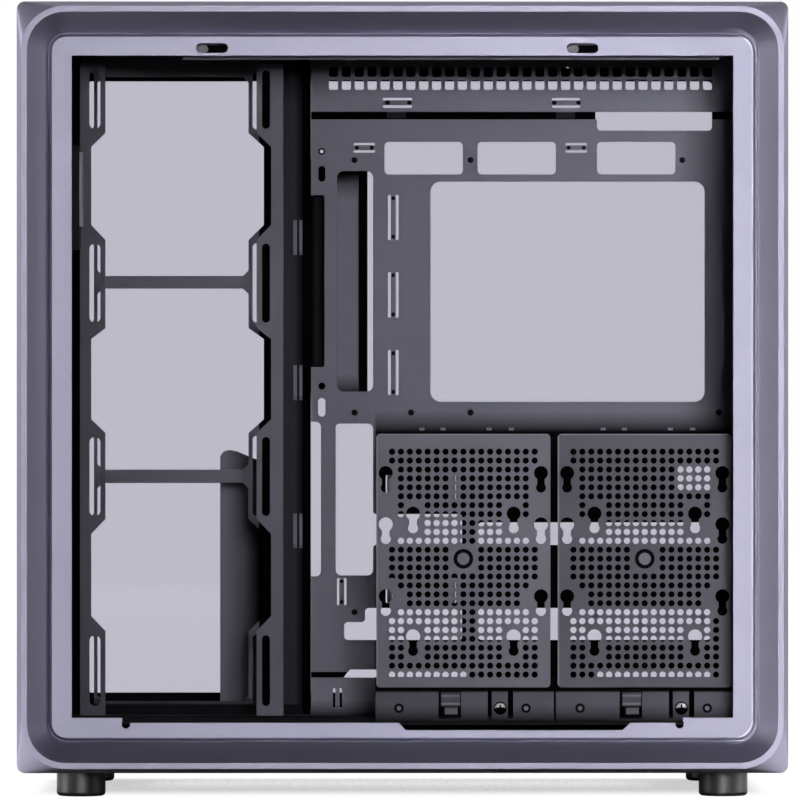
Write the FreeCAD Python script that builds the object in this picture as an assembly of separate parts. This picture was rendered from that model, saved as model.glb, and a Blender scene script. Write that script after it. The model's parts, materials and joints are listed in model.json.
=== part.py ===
import FreeCAD, Part
import os
import math

# Computer case, two chambers, right side open.
# Row frame: origin on the floor under the middle of the body, +Z up,
# X from the front of the case (-) to its rear (+), Y from the open right side (-)
# to the glass left side (+). Millimetres.

# ---------------------------------------------------------------- driving dimensions
BODY_L = 470.0          # front to rear
BODY_H = 470.0          # body height without feet
BODY_W = 290.0          # right rim to left rim
FOOT_H = 15.5           # feet under the body
FOOT_R = 15.0
FOOT_X = 197.0          # foot centres
FOOT_Y = 100.0
DATUM_LIFT = FOOT_H - 14.0   # heights below are counted from 14 mm under the body

SKIN_T = 3.0            # aluminium skin
SHEET_T = 1.2           # steel sheet
CORNER_R = 5.0          # outer corner of the skin
RING_DEPTH = 20.0       # depth of each side frame
RIM_R = 27.0            # corner radius of the rim
RIM_IN = 3.3            # rim set in from the skin
RIM_W = 3.1             # width of the rim's flat
BEVEL_DEPTH = 14.0      # slope from the rim down to the level of the flange
GROOVE_DEPTH = 2.4      # valley between the slope and the flange
OPEN_HALF = 201.9       # half width of the right opening
OPEN_TOP = 451.4
OPEN_BOTTOM = 47.3
GLASS_T = 5.0
GLASS_HALF = 213.0

Y_RAIL = -40.0          # near face of the fan rails
Y_TRAY = -15.0          # near face of the motherboard tray
Y_FAN = 5.0             # near face of the fan frame
Y_DRIVE = -103.0        # near face of the drive plates
X_WALL = 211.0          # inner face of front and rear steel walls
Z_FLOOR = 44.0          # top of the steel floor
Z_ROOF = 458.0          # underside of the steel roof

FAN_SPACING = 105.0     # 120 mm fan screw spacing
BOARD_X = 198.1         # rear standoff column
BOARD_Z = 390.66        # top standoff row
DRIVE_PITCH = 5.47      # hole pitch of the drive plates
DRIVE_HOLE_R = 1.93
PLATE_W = 106.8
PLATE_X = (-15.9, 95.4) # left edges of the two drive plates
PLATE_Z0 = 64.9
PLATE_Z1 = 220.4

os.makedirs("parts", exist_ok=True)
V3 = FreeCAD.Vector
NORMAL = {"xz": V3(0, 1, 0), "yz": V3(1, 0, 0), "xy": V3(0, 0, 1)}


# ---------------------------------------------------------------- helpers
def pt(p, u, v, w):
    if p == "xz":
        return V3(u, w, v)
    if p == "yz":
        return V3(w, u, v)
    return V3(u, v, w)


def line(a, b):
    return Part.LineSegment(a, b).toShape()


def arc(a, m, b):
    return Part.Arc(a, m, b).toShape()


def poly(p, pts, w):
    v = [pt(p, a, b, w) for a, b in pts]
    v.append(v[0])
    return Part.Wire([line(v[i], v[i + 1]) for i in range(len(v) - 1)])


def rect(p, u1, u2, v1, v2, w):
    return poly(p, [(u1, v1), (u2, v1), (u2, v2), (u1, v2)], w)


def rounded(p, u1, u2, v1, v2, r, w):
    hw, hh = (u2 - u1) / 2.0, (v2 - v1) / 2.0
    r = min(r, hw, hh)
    k = r * (1 - math.sqrt(0.5))
    P = lambda a, b: pt(p, a, b, w)
    e = []
    if hw - r > 1e-6:
        e.append(line(P(u1 + r, v1), P(u2 - r, v1)))
    e.append(arc(P(u2 - r, v1), P(u2 - k, v1 + k), P(u2, v1 + r)))
    if hh - r > 1e-6:
        e.append(line(P(u2, v1 + r), P(u2, v2 - r)))
    e.append(arc(P(u2, v2 - r), P(u2 - k, v2 - k), P(u2 - r, v2)))
    if hw - r > 1e-6:
        e.append(line(P(u2 - r, v2), P(u1 + r, v2)))
    e.append(arc(P(u1 + r, v2), P(u1 + k, v2 - k), P(u1, v2 - r)))
    if hh - r > 1e-6:
        e.append(line(P(u1, v2 - r), P(u1, v1 + r)))
    e.append(arc(P(u1, v1 + r), P(u1 + k, v1 + k), P(u1 + r, v1)))
    return Part.Wire(e)


def rpoly(p, pts, w):
    # closed outline of (u, v, r) corners, each rounded with its own radius
    n = len(pts)
    ends, mids = [], []
    for i in range(n):
        u, v, r = pts[i]
        a, b = pts[i - 1], pts[(i + 1) % n]
        d1 = math.hypot(a[0] - u, a[1] - v)
        d2 = math.hypot(b[0] - u, b[1] - v)
        e1 = ((a[0] - u) / d1, (a[1] - v) / d1)
        e2 = ((b[0] - u) / d2, (b[1] - v) / d2)
        if r <= 0:
            ends.append(((u, v), (u, v)))
            mids.append(None)
            continue
        half_angle = math.acos(max(-1.0, min(1.0, e1[0] * e2[0] + e1[1] * e2[1]))) / 2.0
        t = r / math.tan(half_angle)
        bis = (e1[0] + e2[0], e1[1] + e2[1])
        bl = math.hypot(bis[0], bis[1])
        m = r / math.sin(half_angle) - r
        ends.append(((u + e1[0] * t, v + e1[1] * t), (u + e2[0] * t, v + e2[1] * t)))
        mids.append((u + bis[0] / bl * m, v + bis[1] / bl * m))
    edges = []
    for i in range(n):
        if mids[i] is not None:
            edges.append(arc(pt(p, ends[i][0][0], ends[i][0][1], w), pt(p, mids[i][0], mids[i][1], w),
                             pt(p, ends[i][1][0], ends[i][1][1], w)))
        a, b = ends[i][1], ends[(i + 1) % n][0]
        if math.hypot(a[0] - b[0], a[1] - b[1]) > 1e-6:
            edges.append(line(pt(p, a[0], a[1], w), pt(p, b[0], b[1], w)))
    return Part.Wire(edges)


def ring_wire(p, u, v, r, w):
    return Part.Wire([Part.Circle(pt(p, u, v, w), NORMAL[p], r).toShape()])


def keyhole(p, u, v, big, small, drop, neck, w):
    h = neck / 2.0
    yb = v - math.sqrt(big * big - h * h)
    ys = v - drop + math.sqrt(small * small - h * h)
    P = lambda a, b: pt(p, a, b, w)
    return Part.Wire([
        arc(P(u + h, yb), P(u, v + big), P(u - h, yb)),
        line(P(u - h, yb), P(u - h, ys)),
        arc(P(u - h, ys), P(u, v - drop - small), P(u + h, ys)),
        line(P(u + h, ys), P(u + h, yb)),
    ])


def plate(p, outer, holes, w1, w2):
    face = Part.makeFace([outer] + list(holes), "Part::FaceMakerBullseye")
    return face.extrude(NORMAL[p] * (w2 - w1))


def box(x1, x2, y1, y2, z1, z2):
    return Part.makeBox(x2 - x1, y2 - y1, z2 - z1, V3(x1, y1, z1))


def cyl(axis, x, y, z, r, h):
    return Part.makeCylinder(r, h, V3(x, y, z), V3(*axis))


def fuse(shapes):
    s = shapes[0]
    if len(shapes) > 1:
        s = s.fuse(shapes[1:])
    return s.removeSplitter()


def save(name, shape):
    s = shape.copy()
    s.translate(V3(0, 0, DATUM_LIFT))
    s.exportStep("parts/" + name + ".step")
    print(name, round(s.Volume / 1000.0, 2), "cm3", len(s.Solids), "solids", s.isValid())


ZC = 14.0 + BODY_H / 2.0     # middle height of the body


def square(a, r, y):
    return rounded("xz", -a, a, ZC - a, ZC + a, r, y)


def strap(axis, u1, u2, v, width, y, rise):
    # raised cable-tie bridge; runs along X ("u") or Z ("v"), stands out toward -Y
    t = SHEET_T
    prof = [(u1, y + t), (u1, y), (u1 + 0.4, y), (u1 + 2.2, y - rise),
            (u2 - 2.2, y - rise), (u2 - 0.4, y), (u2, y), (u2, y + t),
            (u2 - 0.6, y + t), (u2 - 2.6, y - rise + t), (u1 + 2.6, y - rise + t), (u1 + 0.6, y + t)]
    if axis == "x":
        w = poly("xy", prof, v - width / 2.0)
        return Part.Face(w).extrude(V3(0, 0, width))
    w = Part.Wire([line(V3(v - width / 2.0, prof[i][1], prof[i][0]),
                        V3(v - width / 2.0, prof[(i + 1) % len(prof)][1], prof[(i + 1) % len(prof)][0]))
                   for i in range(len(prof))])
    return Part.Face(w).extrude(V3(width, 0, 0))


# ---------------------------------------------------------------- side frames
def side_frame(opening, slots):
    y0 = -BODY_W / 2.0
    half = BODY_L / 2.0
    back = y0 + RING_DEPTH
    rim = half - RIM_IN
    body = Part.Face(square(half, CORNER_R, back)).extrude(V3(0, -(RING_DEPTH - 6.0), 0))
    cheek = Part.makeLoft([square(half, CORNER_R, y0 + 6.0), square(rim + 0.5, RIM_R - 0.5, y0 + 0.8)], True, True)
    lip = Part.Face(square(rim, RIM_R, y0 + 0.8)).extrude(V3(0, -0.8, 0))
    solid = body.fuse([cheek, lip])
    a_top = rim - RIM_W
    run = 10.8
    a_low = a_top - run
    r_top = RIM_R - RIM_W - 0.6
    k = run / BEVEL_DEPTH
    cone = Part.makeLoft([square(a_top + k, r_top + k, y0 - 1.0),
                          square(a_low, r_top - run, y0 + BEVEL_DEPTH)], True, True)
    solid = solid.cut(cone)
    # the slope runs on below the flange, and a short slope rises from there to the flange's edge
    valley = a_low - k * GROOVE_DEPTH
    deep = y0 + BEVEL_DEPTH + GROOVE_DEPTH
    below = Part.makeLoft([square(a_low, r_top - run, y0 + BEVEL_DEPTH), square(valley, r_top - run - k * GROOVE_DEPTH, deep)], True, True)
    edge = valley - 2.1
    r_edge = r_top - run - k * GROOVE_DEPTH - 2.1
    rise = Part.makeLoft([square(valley - 0.2, r_edge + 1.9, deep), square(edge, r_edge, y0 + BEVEL_DEPTH)], True, True)
    solid = solid.cut(below.cut(rise))
    solid = solid.cut(opening)
    for s in slots:
        solid = solid.cut(s)
    return solid.removeSplitter()


def through(wire):
    return Part.Face(wire).extrude(V3(0, 40, 0))


yo = -BODY_W / 2.0 - 5.0
right_open_pts = [(-OPEN_HALF, OPEN_BOTTOM), (-171.1, OPEN_BOTTOM), (-171.1, 44.2), (-2.5, 44.2), (2.0, 39.7),
                  (134.5, 39.7), (139.0, 44.2), (171.3, 44.2), (171.3, OPEN_BOTTOM), (OPEN_HALF, OPEN_BOTTOM),
                  (OPEN_HALF, OPEN_TOP), (-OPEN_HALF, OPEN_TOP)]
catch_slots = [(-126.0, -106.5), (100.2, 119.7)]
slot_cuts = [through(rounded("xz", a, b, 452.9, 459.0, 3.05, yo)) for a, b in catch_slots]
notches = [cyl((0, 1, 0), x, yo, 43.4, 2.7, 40) for x in (-168.8, 169.2)]
right_side_frame = side_frame(through(poly("xz", right_open_pts, yo)), slot_cuts + notches)
save("right_side_frame", right_side_frame)

left_open = rounded("xz", -200.0, 200.0, 53.4, 444.7, 3.0, yo)
left_raw = side_frame(through(left_open), slot_cuts)
left_side_frame = left_raw.mirror(V3(0, 0, 0), V3(0, 1, 0))
save("left_side_frame", left_side_frame)

# spring catches in the flange slots
CATCH_GAP = 0.35


def catch(a, y1, y2):
    return Part.Face(rounded("xz", a + CATCH_GAP, a + 7.4, 452.9 + CATCH_GAP, 459.0 - 1.2, 2.2, y1)).extrude(V3(0, y2 - y1, 0))


save("right_catches", Part.makeCompound([catch(a, -129.6, -121.0) for a, b in catch_slots]))
save("left_catches", Part.makeCompound([catch(a, 121.0, 129.6) for a, b in catch_slots]))

# ---------------------------------------------------------------- aluminium skin
half = BODY_L / 2.0
y_in = BODY_W / 2.0 - RING_DEPTH
zb, zt = 14.0, 14.0 + BODY_H
ro, ri = CORNER_R, CORNER_R - SKIN_T


def skin_section(sign):
    # horizontal skin with rounded front and rear edges, cut along the body's length
    z = zt if sign > 0 else zb
    q = math.sqrt(0.5)
    P = lambda x, h: V3(x, -y_in, z - sign * h)
    e = [line(P(-half + ro, 0), P(half - ro, 0)),
         arc(P(half - ro, 0), P(half - ro + ro * q, ro - ro * q), P(half, ro)),
         line(P(half, ro), P(half - SKIN_T, ro)),
         arc(P(half - SKIN_T, ro), P(half - ro + ri * q, ro - ri * q), P(half - ro, SKIN_T)),
         line(P(half - ro, SKIN_T), P(-half + ro, SKIN_T)),
         arc(P(-half + ro, SKIN_T), P(-half + ro - ri * q, ro - ri * q), P(-half + SKIN_T, ro)),
         line(P(-half + SKIN_T, ro), P(-half, ro)),
         arc(P(-half, ro), P(-half + ro - ro * q, ro - ro * q), P(-half + ro, 0))]
    return Part.Face(Part.Wire(e)).extrude(V3(0, 2 * y_in, 0))


def vent_slots(x1, x2, n, y1, y2, z1, z2):
    step = (x2 - x1) / (n - 1)
    face = [Part.Face(rounded("xy", x1 + i * step - 2.0, x1 + i * step + 2.0, y1, y2, 2.0, z1)) for i in range(n)]
    return [f.extrude(V3(0, 0, z2 - z1)) for f in face]


top_vents = vent_slots(-180.0, 180.0, 37, 20.0, 105.0, zt - 10.0, zt + 5.0)
save("top_panel", skin_section(1).cut(top_vents).removeSplitter())
bottom_vents = vent_slots(-150.0, 150.0, 31, 20.0, 105.0, zb - 5.0, zb + 10.0)
save("bottom_panel", skin_section(-1).cut(bottom_vents).removeSplitter())

# front skin with the ports and buttons on its right-hand pillar
IO_Y = -98.0
Z_POWER, Z_RESET, Z_USBC, Z_USBA, Z_USBB, Z_JACK = 388.0, 374.5, 366.0, 355.5, 345.5, 338.0
POWER_R, RESET_R = 5.5, 2.5
JACK_R = 2.9
front_holes = [ring_wire("yz", IO_Y, Z_POWER, POWER_R + 0.35, -half),
               ring_wire("yz", IO_Y, Z_RESET, RESET_R + 0.35, -half),
               rounded("yz", IO_Y - 4.7, IO_Y + 4.7, Z_USBC - 1.8, Z_USBC + 1.8, 1.75, -half),
               rect("yz", IO_Y - 6.9, IO_Y + 6.9, Z_USBA - 3.2, Z_USBA + 3.2, -half),
               rect("yz", IO_Y - 6.9, IO_Y + 6.9, Z_USBB - 3.2, Z_USBB + 3.2, -half),
               ring_wire("yz", IO_Y, Z_JACK, JACK_R, -half)]
save("front_panel", plate("yz", rect("yz", -y_in, y_in, zb + ro, zt - ro, -half), front_holes, -half, -half + SKIN_T))

# rear skin: a border around the recessed rear wall
save("rear_frame", plate("yz", rect("yz", -y_in, y_in, zb + ro, zt - ro, half - SKIN_T),
                         [rounded("yz", -111.0, 111.0, 33.0, 465.0, 2.0, half - SKIN_T)], half - SKIN_T, half))

# ---------------------------------------------------------------- port block behind the front skin
blk = box(-half + SKIN_T, -197.6, -112.0, -84.0, 333.5, 397.0)
xf = -half + SKIN_T
blk = blk.cut([cyl((1, 0, 0), xf, IO_Y, Z_POWER, POWER_R + 1.4, 12.0),
               cyl((1, 0, 0), xf, IO_Y, Z_RESET, RESET_R + 1.4, 10.0),
               box(xf, xf + 12.0, IO_Y - 6.9, IO_Y + 6.9, Z_USBA - 3.2, Z_USBA + 3.2),
               box(xf, xf + 12.0, IO_Y - 6.9, IO_Y + 6.9, Z_USBB - 3.2, Z_USBB + 3.2),
               box(xf, xf + 9.0, IO_Y - 4.7, IO_Y + 4.7, Z_USBC - 1.8, Z_USBC + 1.8),
               cyl((1, 0, 0), xf, IO_Y, Z_JACK, JACK_R, 12.0)])
save("port_block", blk)
save("port_bracket", box(-197.6, -196.0, -114.0, -86.0, 347.5, 393.0))


def usb_shell(z, hw, hh, r, depth, t, tongue):
    x0 = -half + 0.4
    s = Part.Face(rounded("yz", IO_Y - hw, IO_Y + hw, z - hh, z + hh, r, x0)).extrude(V3(xf + depth - x0, 0, 0))
    s = s.cut(Part.Face(rounded("yz", IO_Y - hw + t, IO_Y + hw - t, z - hh + t, z + hh - t, max(r - t, 0.2), x0 - 1)).extrude(V3(xf + depth - 0.8 - x0 + 1, 0, 0)))
    b = box(x0 + 1.0, xf + depth - 0.4, IO_Y - hw + t + tongue[0], IO_Y + hw - t - tongue[0], z + tongue[1], z + tongue[2])
    return s.fuse(b)


usb = [usb_shell(Z_USBA, 6.8, 3.1, 0.3, 11.9, 0.4, (0.8, 0.3, 2.1)),
       usb_shell(Z_USBB, 6.8, 3.1, 0.3, 11.9, 0.4, (0.8, 0.3, 2.1)),
       usb_shell(Z_USBC, 4.55, 1.65, 1.55, 8.9, 0.3, (0.9, -0.35, 0.35))]
save("usb_ports", Part.makeCompound(usb))
jack = cyl((1, 0, 0), -half + 0.2, IO_Y, Z_JACK, JACK_R - 0.1, SKIN_T + 11.5).cut(cyl((1, 0, 0), -half - 1, IO_Y, Z_JACK, 1.8, SKIN_T + 11.0))
save("audio_jack", jack)

# push buttons: cap through the skin, collar behind it, resting against the skin's inner face
power_button = fuse([cyl((1, 0, 0), -half, IO_Y, Z_POWER, POWER_R, SKIN_T + 1.0),
                     cyl((1, 0, 0), xf + 0.3, IO_Y, Z_POWER, POWER_R + 0.9, 2.2)])
save("power_button", power_button)
reset_button = fuse([cyl((1, 0, 0), -half + 0.2, IO_Y, Z_RESET, RESET_R, SKIN_T + 0.8),
                     cyl((1, 0, 0), xf + 0.3, IO_Y, Z_RESET, RESET_R + 0.9, 1.8)])
save("reset_button", reset_button)

# ---------------------------------------------------------------- steel walls, floor, roof
z_in0, z_in1 = zb + SKIN_T, zt - SKIN_T
front_wall_holes = [rounded("yz", -116.0, -80.0, 328.0, 402.0, 4.0, -X_WALL - SHEET_T)]
save("front_wall", plate("yz", rect("yz", -y_in, y_in, z_in0, z_in1, -X_WALL - SHEET_T), front_wall_holes,
                         -X_WALL - SHEET_T, -X_WALL))

# rear wall: board port window, expansion slots, power supply window and vents
IO_WIN = (-8.6, 35.9, 243.0, 401.8)       # 44.45 x 158.75 port window
SLOT_PITCH = 20.32
SLOT_TOP = 224.0
slot_z = [SLOT_TOP - i * SLOT_PITCH for i in range(7)]
PSU_Y, PSU_Z = -58.2, 120.0               # middle of the power supply window
psu_holes = [(PSU_Y - 32.0 - 5.0, PSU_Z - 69.0), (PSU_Y - 32.0 - 5.0, PSU_Z + 69.0), (PSU_Y + 27.0, PSU_Z + 69.0), (PSU_Y + 37.0, PSU_Z - 39.0)]
rear_holes = [rect("yz", IO_WIN[0], IO_WIN[1], IO_WIN[2], IO_WIN[3], X_WALL)]
rear_holes += [rounded("yz", -8.0, 92.0, z - 6.2, z + 6.2, 1.0, X_WALL) for z in slot_z]
rear_holes += [rounded("yz", PSU_Y - 30.0, PSU_Y + 30.0, PSU_Z - 62.0, PSU_Z + 62.0, 5.0, X_WALL)]
rear_holes += [ring_wire("yz", a, b, 2.0, X_WALL) for a, b in psu_holes]
rear_holes += [ring_wire("yz", 99.5, z, 1.6, X_WALL) for z in slot_z]
for i in range(8):
    rear_holes += [rounded("yz", 46.0 + 8.6 * i, 50.0 + 8.6 * i, 262.0 + 46.0 * j, 300.0 + 46.0 * j, 2.0, X_WALL) for j in range(4)]
    rear_holes += [rounded("yz", -100.0 + 8.6 * i, -96.0 + 8.6 * i, 262.0 + 46.0 * j, 300.0 + 46.0 * j, 2.0, X_WALL) for j in range(4)]
save("rear_wall", plate("yz", rect("yz", -y_in, y_in, z_in0, z_in1, X_WALL), rear_holes, X_WALL, X_WALL + SHEET_T))

covers = [plate("yz", rounded("yz", -9.2, 105.0, z - 8.6, z + 8.6, 1.0, X_WALL + SHEET_T),
                [ring_wire("yz", 99.5, z, 1.6, X_WALL + SHEET_T)] +
                [rounded("yz", 2.0 + 9.0 * k, 6.0 + 9.0 * k, z - 4.0, z + 4.0, 1.9, X_WALL + SHEET_T) for k in range(9)],
                X_WALL + SHEET_T, X_WALL + SHEET_T + 1.0) for z in slot_z]
save("slot_covers", Part.makeCompound(covers))
screws = [fuse([cyl((1, 0, 0), X_WALL - 3.0, 99.5, z, 1.5, 3.0 + SHEET_T + 1.0),
                cyl((1, 0, 0), X_WALL + SHEET_T + 1.0, 99.5, z, 3.4, 2.2)]) for z in slot_z]
screws = [s.cut(fuse([box(X_WALL + 4.0, X_WALL + 5.5, 99.5 - 2.0, 99.5 + 2.0, z - 0.45, z + 0.45),
                      box(X_WALL + 4.0, X_WALL + 5.5, 99.5 - 0.45, 99.5 + 0.45, z - 2.0, z + 2.0)])) for s, z in zip(screws, slot_z)]
save("slot_screws", Part.makeCompound(screws))

floor_vents = [rounded("xy", -150.0 + 10.0 * i - 2.0, -150.0 + 10.0 * i + 2.0, 30.0, 105.0, 2.0, Z_FLOOR - SHEET_T) for i in range(31)]
save("chassis_floor", plate("xy", rect("xy", -X_WALL, X_WALL, -y_in, y_in, Z_FLOOR - SHEET_T), floor_vents, Z_FLOOR - SHEET_T, Z_FLOOR))
roof_vents = [rounded("xy", -180.0 + 10.0 * i - 2.0, -180.0 + 10.0 * i + 2.0, 24.0, 105.0, 2.0, Z_ROOF) for i in range(37)]
save("chassis_roof", plate("xy", rect("xy", -X_WALL, X_WALL, -y_in, y_in, Z_ROOF), roof_vents, Z_ROOF, Z_ROOF + SHEET_T))
save("roof_lip", box(-134.5, 193.6, -120.4, -119.2, 449.2, Z_ROOF))

# ---------------------------------------------------------------- motherboard tray
def tie_cut(axis, u1, u2, v1, v2, y):
    # clearance under a cable-tie bridge
    if axis == "x":
        return rounded("xz", u1, u2, v1, v2, 0.8, y)
    return rounded("xz", v1, v2, u1, u2, 0.8, y)


TX0 = -56.3
tray_outline = [(TX0, 71.4, 0), (-33.1, 71.4, 0), (-32.0, 72.9, 0), (41.0, 72.9, 0), (41.0, 71.4, 0), (122.0, 71.4, 0), (122.0, 72.9, 0),
                (193.1, 72.9, 0), (193.1, 71.4, 0), (X_WALL, 71.4, 0), (X_WALL, 416.0, 0), (193.8, 416.0, 0), (193.8, 409.0, 2.5),
                (122.0, 409.0, 2.5), (122.0, 416.0, 0), (TX0, 416.0, 0),
                (TX0, 368.8, 0), (-47.9, 368.8, 1.5), (-47.9, 261.6, 1.5), (TX0, 261.6, 0),
                (TX0, 227.5, 0), (-50.1, 227.5, 3.5), (-50.1, 131.0, 3.5), (TX0, 131.0, 0)]
tray_holes = [rounded("xz", a, b, 381.7, 402.0, 2.8, Y_TRAY) for a, b in ((-10.5, 38.4), (47.6, 96.4), (122.1, 170.9))]
tray_holes.append(rounded("xz", 18.2, 189.2, 239.9, 377.2, 6.4, Y_TRAY))
tray_holes.append(rounded("xz", -40.1, -17.6, 246.3, 383.8, 4.2, Y_TRAY))
lower_hole = rpoly("xz", [(-40.9, 131.6, 3.6), (-17.6, 131.6, 3.6), (-17.6, 150.6, 2.0), (37.9, 150.6, 2.0), (37.9, 169.9, 2.0),
                          (-17.6, 169.9, 2.0), (-17.6, 226.3, 3.6), (-40.9, 226.3, 2.4)], Y_TRAY)
tray_holes.append(lower_hole)
tray_holes.append(rounded("xz", 47.8, 193.1, 150.6, 164.7, 2.5, Y_TRAY))
tray_holes.append(rpoly("xz", [(-35.7, 91.3, 2.6), (37.9, 91.3, 2.0), (37.9, 111.3, 2.0), (-22.6, 111.3, 2.4), (-22.6, 102.5, 2.4), (-35.7, 102.5, 2.6)], Y_TRAY))
tray_holes.append(rounded("xz", 47.8, 193.1, 91.3, 111.3, 2.5, Y_TRAY))
tray_holes.append(rounded("xz", 172.3, 193.1, 184.3, 200.2, 3.0, Y_TRAY))
tray_holes.append(ring_wire("xz", -49.6, 396.0, 2.18, Y_TRAY))
tray_holes.append(rounded("xz", -51.7, -47.4, 377.2, 386.9, 2.1, Y_TRAY))
tray_holes.append(ring_wire("xz", -49.5, 249.7, 2.18, Y_TRAY))
tray_holes.append(rounded("xz", -51.9, -47.3, 230.7, 242.2, 2.3, Y_TRAY))

row_z = (BOARD_Z, BOARD_Z - 157.48, BOARD_Z - 281.94)
standoff_at = [(BOARD_X - 22.86, row_z[0]), (BOARD_X - 154.94, row_z[0]), (BOARD_X - 227.33, row_z[0])]
for z in row_z[1:]:
    standoff_at += [(BOARD_X, z), (BOARD_X - 154.94, z), (BOARD_X - 227.33, z)]
spare_standoff = (6.1, 233.2)
tray_holes += [ring_wire("xz", a, b, 1.9, Y_TRAY) for a, b in standoff_at + [spare_standoff]]

TIES = [("x", -29.7, -16.4, 395.3, 401.3), ("x", 102.4, 115.8, 395.3, 401.3),
        ("z", 340.8, 368.8, -8.3, -1.7), ("z", 292.4, 320.8, -8.3, -1.7), ("z", 244.1, 272.2, -8.3, -1.7),
        ("z", 113.1, 130.0, -40.1, -34.2),
        ("z", 178.0, 194.2, -9.7, -4.9), ("z", 114.4, 130.0, -9.7, -4.9),
        ("z", 178.0, 194.2, 29.6, 34.4), ("z", 114.4, 130.0, 29.6, 34.4)]
tray_holes += [tie_cut(a, u1, u2, v1, v2, Y_TRAY) for a, u1, u2, v1, v2 in TIES]
tray = plate("xz", rpoly("xz", tray_outline, Y_TRAY), tray_holes, Y_TRAY, Y_TRAY + SHEET_T)
# the sheet is stated as bands that meet along lines through its holes
TRAY_BANDS = (("tray_top_edge", 392.0, 420.0), ("tray_upper", 308.0, 392.0), ("tray_middle", 192.0, 308.0),
              ("tray_lower", 157.6, 192.0), ("tray_cross", 101.0, 157.6), ("tray_foot", 60.0, 101.0))
for band, z1, z2 in TRAY_BANDS:
    save(band, tray.common(box(-80.0, 230.0, Y_TRAY - 1.0, Y_TRAY + SHEET_T + 1.0, z1, z2)))
bridges = [strap(a, u1, u2, (v1 + v2) / 2.0, 3.2, Y_TRAY, 2.0) for a, u1, u2, v1, v2 in TIES]
# brackets that join the tray's front edge to the fan frame, between the notches
save("tray_brackets", Part.makeCompound([box(TX0, TX0 + SHEET_T, Y_TRAY + SHEET_T, Y_FAN + SHEET_T, z1, z2)
                                         for z1, z2 in ((368.8, 416.0), (227.5, 261.6), (71.4, 131.0))]))

# standoffs: hexagon on the board side, stud through the tray
def standoff(x, z):
    y1 = Y_TRAY + SHEET_T
    hexw = [(x + 2.9 * math.cos(math.radians(60 * i)), z + 2.9 * math.sin(math.radians(60 * i))) for i in range(6)]
    body = Part.Face(poly("xz", hexw, y1)).extrude(V3(0, 6.5, 0))
    stud = cyl((0, 1, 0), x, Y_TRAY + 0.4, z, 1.85, SHEET_T - 0.4)
    return fuse([body, stud]).cut(cyl((0, 1, 0), x, y1 + 1.0, z, 1.25, 6.0))


save("standoffs", Part.makeCompound([standoff(a, b) for a, b in standoff_at + [spare_standoff]]))

# ---------------------------------------------------------------- upper and lower rails of the tray
ur_holes = []
for i in range(30):
    x = -42.3 + i * 8.045
    ur_holes += [rounded("xz", x - 2.85, x + 2.85, z - 3.05, z + 3.05, 1.3, Y_TRAY) for z in (445.6, 437.5)]
UR_TIES = [("x", -11.4, 6.7, 423.2, 429.4), ("x", 94.0, 111.4, 423.2, 429.4)]
ur_holes += [tie_cut(a, u1, u2, v1, v2, Y_TRAY) for a, u1, u2, v1, v2 in UR_TIES]
ur = plate("xz", rect("xz", TX0, X_WALL, 420.7, Z_ROOF, Y_TRAY), ur_holes, Y_TRAY, Y_TRAY + SHEET_T)
bridges += [strap(a, u1, u2, (v1 + v2) / 2.0, 3.2, Y_TRAY, 2.0) for a, u1, u2, v1, v2 in UR_TIES]
ur_add = [box(a, b, Y_TRAY + 0.3, Y_TRAY + SHEET_T, 416.6, 421.0) for a, b in ((-9.0, 3.0), (96.5, 108.4))]
save("upper_rail", fuse([ur] + ur_add))


def channel(x1, x2, z1, z2, depth, cap=None):
    # closed-back channel joining two sheets that leave a gap from z1 to z2, with an optional cap at its front end
    y1 = Y_TRAY + SHEET_T
    parts = [box(x1, x2, y1, y1 + depth, z1 - SHEET_T, z1), box(x1, x2, y1, y1 + depth, z2, z2 + SHEET_T),
             box(x1, x2, y1 + depth, y1 + depth + SHEET_T, z1 - SHEET_T, z2 + SHEET_T)]
    if cap:
        parts.append(box(TX0, x1, y1, y1 + depth + SHEET_T, cap[0], cap[1]))
    return fuse(parts)


save("upper_joint_channel", Part.makeCompound([channel(TX0 + 1.5, 121.4, 416.0, 420.7, 11.0, (416.1, 420.7 + SHEET_T)),
                                               channel(194.4, X_WALL, 416.0, 420.7, 11.0)]))

LR_TIES = [("z", 48.4, 61.4, -42.6, -37.0)]
save("lower_rail", plate("xz", rect("xz", TX0, X_WALL, Z_FLOOR, 67.9, Y_TRAY),
                         [tie_cut(a, u1, u2, v1, v2, Y_TRAY) for a, u1, u2, v1, v2 in LR_TIES], Y_TRAY, Y_TRAY + SHEET_T))
bridges += [strap(a, u1, u2, (v1 + v2) / 2.0, 2.8, Y_TRAY, 2.0) for a, u1, u2, v1, v2 in LR_TIES]
slant = Part.Face(poly("xz", [(-35.7, 66.0), (-35.7, 67.9), (-32.0, 72.9), (-31.0, 72.9), (-31.0, 66.0)], Y_TRAY)).extrude(V3(0, 20.0, 0))
save("lower_joint_channel", Part.makeCompound([channel(TX0 + 1.5, -32.0, 67.9, 71.4, 11.0, (67.9 - SHEET_T, 71.3)).cut(slant),
                                               channel(41.5, 121.5, 67.9, 71.4, 11.0),
                                               channel(193.6, X_WALL, 67.9, 71.4, 11.0)]))

# ---------------------------------------------------------------- fan frame and fan rails
STEPS = [(406.8, 398.1, 349.7, 340.4), (285.7, 278.9, 229.2, 220.6), (167.2, 157.9, 107.0, 97.7)]
RAIL_Z = (45.1, 449.9)


def stepped(x_narrow, x_wide):
    pts = [(x_narrow, RAIL_Z[1])]
    for a, b, c, d in STEPS:
        pts += [(x_narrow, a), (x_wide, b), (x_wide, c), (x_narrow, d)]
    pts.append((x_narrow, RAIL_Z[0]))
    return pts


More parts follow.
